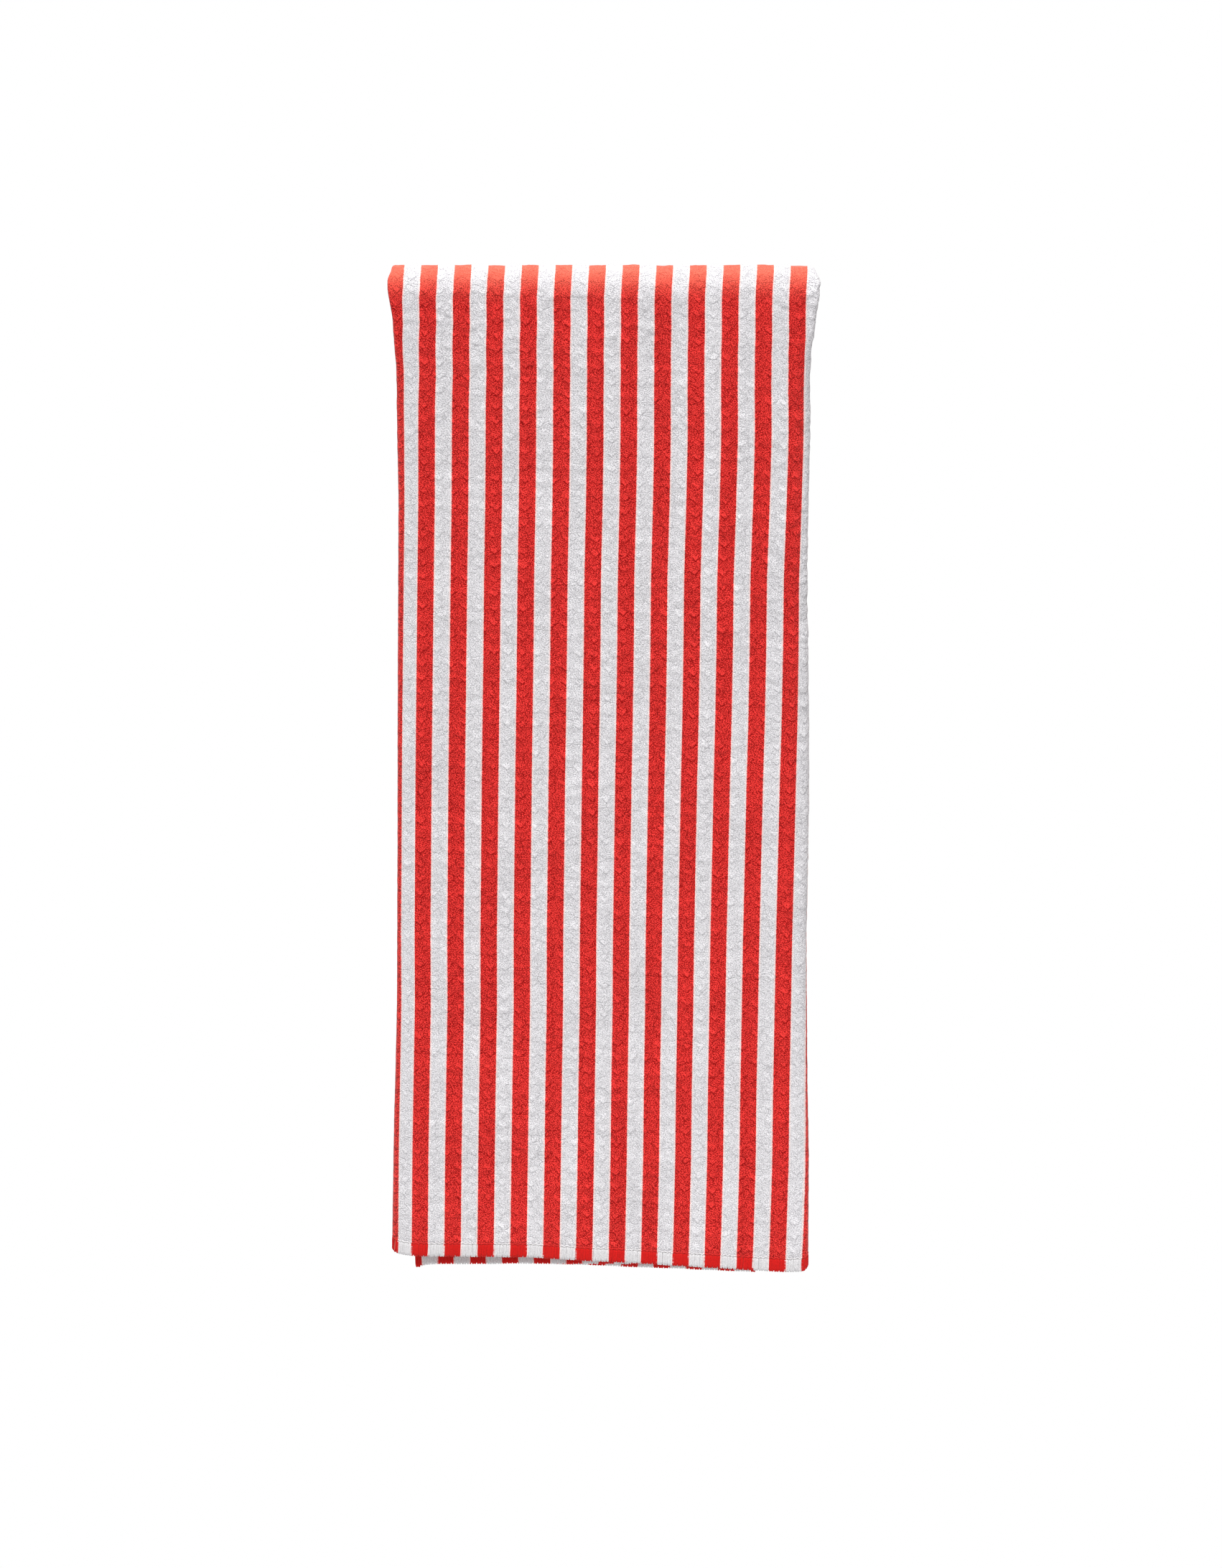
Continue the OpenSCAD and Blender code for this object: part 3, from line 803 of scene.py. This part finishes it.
    # the reverse side, where the colour shows through faintly
    side = k.ramp(k.attribute("side"), 0.0, 0.10)
    rev = k.mix(k.math("MULTIPLY", red, 0.55), (0.80, 0.77, 0.76, 1), (0.66, 0.14, 0.12, 1))
    rev = k.scale_colour(rev, k.ramp(fine, 0.3, 0.7, 0.85, 1.08))
    col = k.mix(side, rev, col)
    k.put(k.bsdf, "Base Color", k.scale_colour(col, k.ramp(wide, 0.3, 0.7, 0.97, 1.03)))
    k.put(k.bsdf, "Roughness", 0.95)
    k.put(k.bsdf, "Specular IOR Level", 0.06)
    k.put(k.bsdf, "Sheen Weight", 0.26)
    k.put(k.bsdf, "Sheen Roughness", 0.5)
    k.put(k.bsdf, "Sheen Tint", (1.0, 0.84, 0.77, 1))
    h = k.math("ADD", k.math("MULTIPLY", fine, 0.9), k.math("MULTIPLY", tuft, 0.4))
    h = k.math("ADD", h, k.math("MULTIPLY", crack, 0.25))
    k.put(k.bsdf, "Normal", k.bump(h, 0.8, 0.0008))
    return k.mat


def hem_cloth():
    k = Nodes("hem_base_cloth")
    vec, u, v = k.flat()
    red, line = stripes(k, u, 0.0)
    col = k.mix(red, (0.78, 0.74, 0.74, 1), (0.78, 0.20, 0.15, 1))
    grain = k.ramp(k.noise(vec, 1.6, 2.0, 0.6), 0.3, 0.7, 0.88, 1.08)
    k.put(k.bsdf, "Base Color", k.scale_colour(col, grain))
    k.put(k.bsdf, "Roughness", 0.9)
    k.put(k.bsdf, "Sheen Weight", 0.2)
    k.put(k.bsdf, "Normal", k.bump(k.noise(vec, 2.2, 2.0, 0.6), 0.5, 0.0003))
    return k.mat


def thread(name, lift):
    """Printed polyester thread. lift is how much whiter than the cloth it is."""
    k = Nodes(name)
    vec, u, v = k.flat()
    wob = k.math("MULTIPLY", k.math("SUBTRACT", k.noise(vec, 1.3, 1.0, 0.5), 0.5), 0.5)
    red, line = stripes(k, u, wob)
    col = k.mix(red, (0.70, 0.685, 0.695, 1), (0.62, 0.007, 0.005, 1))
    col = k.mix(k.math("MULTIPLY", line, 0.5), col, CREAM)
    if lift:
        col = k.mix(lift, col, (0.95, 0.62, 0.55, 1))
    grain = k.ramp(k.noise(vec, 1.4, 2.0, 0.6), 0.3, 0.7, 0.90, 1.07)
    k.put(k.bsdf, "Base Color", k.scale_colour(col, grain))
    k.put(k.bsdf, "Roughness", 0.72)
    k.put(k.bsdf, "Specular IOR Level", 0.18)
    k.put(k.bsdf, "Sheen Weight", 0.06)
    k.put(k.bsdf, "Normal", k.bump(k.noise(vec, 3.0, 1.0, 0.5), 0.35, 0.0002))
    return k.mat


TERRY, HEM_CLOTH = terry(), hem_cloth()
THREAD, LOOP = thread("overlock_thread_printed", 0.0), thread("needle_loop_thread", 0.02)
WEAR = {"cloth": (TERRY, "striped_terry"), "hem": (HEM_CLOTH, "serged_hem"), "threads": (THREAD, "overlock_thread"),
        "loops": (LOOP, "overlock_thread")}

# ------------------------------------------------------------------ build, dress and hang
_SADDLE = ["saddle_centre_wrap", "saddle_left_third_wrap", "saddle_right_third_wrap", "saddle_left_fold",
           "saddle_right_fold", "saddle_left_third_side_hem", "saddle_right_third_side_hem"]
_DROP = ["centre_panel", "left_third_panel", "right_third_panel", "left_fold", "right_fold", "left_third_side_hem",
         "right_third_side_hem", "end_hem", "overlock_stitching"]
replaced = {
    "centre": ["centre_panel", "left_fold", "right_fold"], "right": ["right_third_panel"], "left": ["left_third_panel"],
    "end_hem": ["end_hem"], "end_threads": ["overlock_stitching"], "right_side_hem": ["right_third_side_hem"],
    "left_side_hem": ["left_third_side_hem"],
}
saddle_of = {"centre": ["saddle_centre_wrap", "saddle_left_fold", "saddle_right_fold"], "right": ["saddle_right_third_wrap"],
             "left": ["saddle_left_third_wrap"], "right_side_hem": ["saddle_right_third_side_hem"],
             "left_side_hem": ["saddle_left_third_side_hem"]}

for half in (FRONT, BACK):
    body = half.name + "_drop"
    pieces = build_half(half, body)
    for key, ob in pieces.items():
        kind = "loops" if key.endswith("loops") else "threads" if key.endswith("threads") else "hem" if key.endswith("hem") else "cloth"
        mat, slot = WEAR[kind]
        ob.data.materials.append(mat)
        if key in ("end_hem", "end_threads", "end_loops"):
            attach(ob, body)
        else:
            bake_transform(ob)
        nodes = [half.name + "_" + n for n in replaced.get(key, [])]
        if half is FRONT:
            nodes += saddle_of.get(key, [])
        if nodes:
            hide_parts(*nodes)
    mid = 0.5 * RHO_END
    u_left = float(half.uls(-250.0)) - PI * 2.37 / 2 - STUB
    u_right = float(half.urs(-250.0)) + PI * 2.37 + 6.0

# ------------------------------------------------------------------ floor, light and camera
scene = bpy.context.scene
bm = bmesh.new()
bmesh.ops.create_circle(bm, cap_ends=True, segments=96, radius=0.75)
me = bpy.data.meshes.new("floor")
bm.to_mesh(me)
bm.free()
floor = bpy.data.objects.new("floor", me)
floor.location = (0, 0, -0.785)
scene.collection.objects.link(floor)
k = Nodes("pale_floor")
k.put(k.bsdf, "Base Color", (0.42, 0.42, 0.42, 1))
k.put(k.bsdf, "Roughness", 0.8)
me.materials.append(k.mat)

world = bpy.data.worlds.new("studio")
scene.world = world
world.use_nodes = True
nt = world.node_tree
nt.nodes.clear()
seen, lit = nt.nodes.new("ShaderNodeBackground"), nt.nodes.new("ShaderNodeBackground")
seen.inputs[0].default_value, seen.inputs[1].default_value = (1, 1, 1, 1), 1.0
lit.inputs[0].default_value, lit.inputs[1].default_value = (1, 1, 1, 1), 0.42
lp, mx, wo = nt.nodes.new("ShaderNodeLightPath"), nt.nodes.new("ShaderNodeMixShader"), nt.nodes.new("ShaderNodeOutputWorld")
nt.links.new(lp.outputs["Is Camera Ray"], mx.inputs[0])
nt.links.new(lit.outputs[0], mx.inputs[1])
nt.links.new(seen.outputs[0], mx.inputs[2])
nt.links.new(mx.outputs[0], wo.inputs[0])


def area(name, loc, target, size, watts, colour=(1, 1, 1)):
    li = bpy.data.lights.new(name, "AREA")
    li.shape, li.size, li.size_y, li.energy, li.color = "RECTANGLE", size[0], size[1], watts, colour
    ob = bpy.data.objects.new(name, li)
    ob.location = loc
    ob.rotation_euler = (Vector(target) - Vector(loc)).to_track_quat("-Z", "Y").to_euler()
    scene.collection.objects.link(ob)
    return ob


key = bpy.data.lights.new("key_above", "SUN")
key.energy, key.angle = 2.7, math.radians(18)
key_ob = bpy.data.objects.new("key_above", key)
key_ob.location = (-0.6, -1.2, 2.0)
key_ob.rotation_euler = (Vector((0, 0, 0)) - Vector((-0.13, -0.40, 0.91))).to_track_quat("-Z", "Y").to_euler()
scene.collection.objects.link(key_ob)
top = bpy.data.lights.new("overhead", "SUN")
top.energy, top.angle = 1.85, math.radians(12)
top_ob = bpy.data.objects.new("overhead", top)
top_ob.location = (0, 0, 2.4)
top_ob.rotation_euler = (0, 0, 0)
scene.collection.objects.link(top_ob)
area("front_fill", (0.35, -2.2, -0.20), (0, 0, -0.30), (1.6, 1.6), 14.0)
area("left_side", (-2.0, -0.5, 0.2), (0, 0, -0.25), (1.2, 1.6), 4.0)
area("right_side", (2.0, -0.3, 0.2), (0, 0, -0.25), (1.2, 1.6), 4.5)
area("back_fill", (0.2, 2.1, 0.4), (0, 0, -0.25), (1.5, 1.5), 25.0)

cam_data = bpy.data.cameras.new("camera")
cam_data.lens, cam_data.sensor_width, cam_data.sensor_fit = 125.9, 36.0, "AUTO"
cam = bpy.data.objects.new("camera", cam_data)
cam.location = (0.0036, -0.0135 - 2.75, -0.254)
cam.rotation_euler = (math.radians(90), 0, 0)
scene.collection.objects.link(cam)
scene.camera = cam
scene.view_settings.view_transform = "Standard"
scene.view_settings.look = "None"
scene.view_settings.exposure = 0.0
scene.view_settings.gamma = 1.0
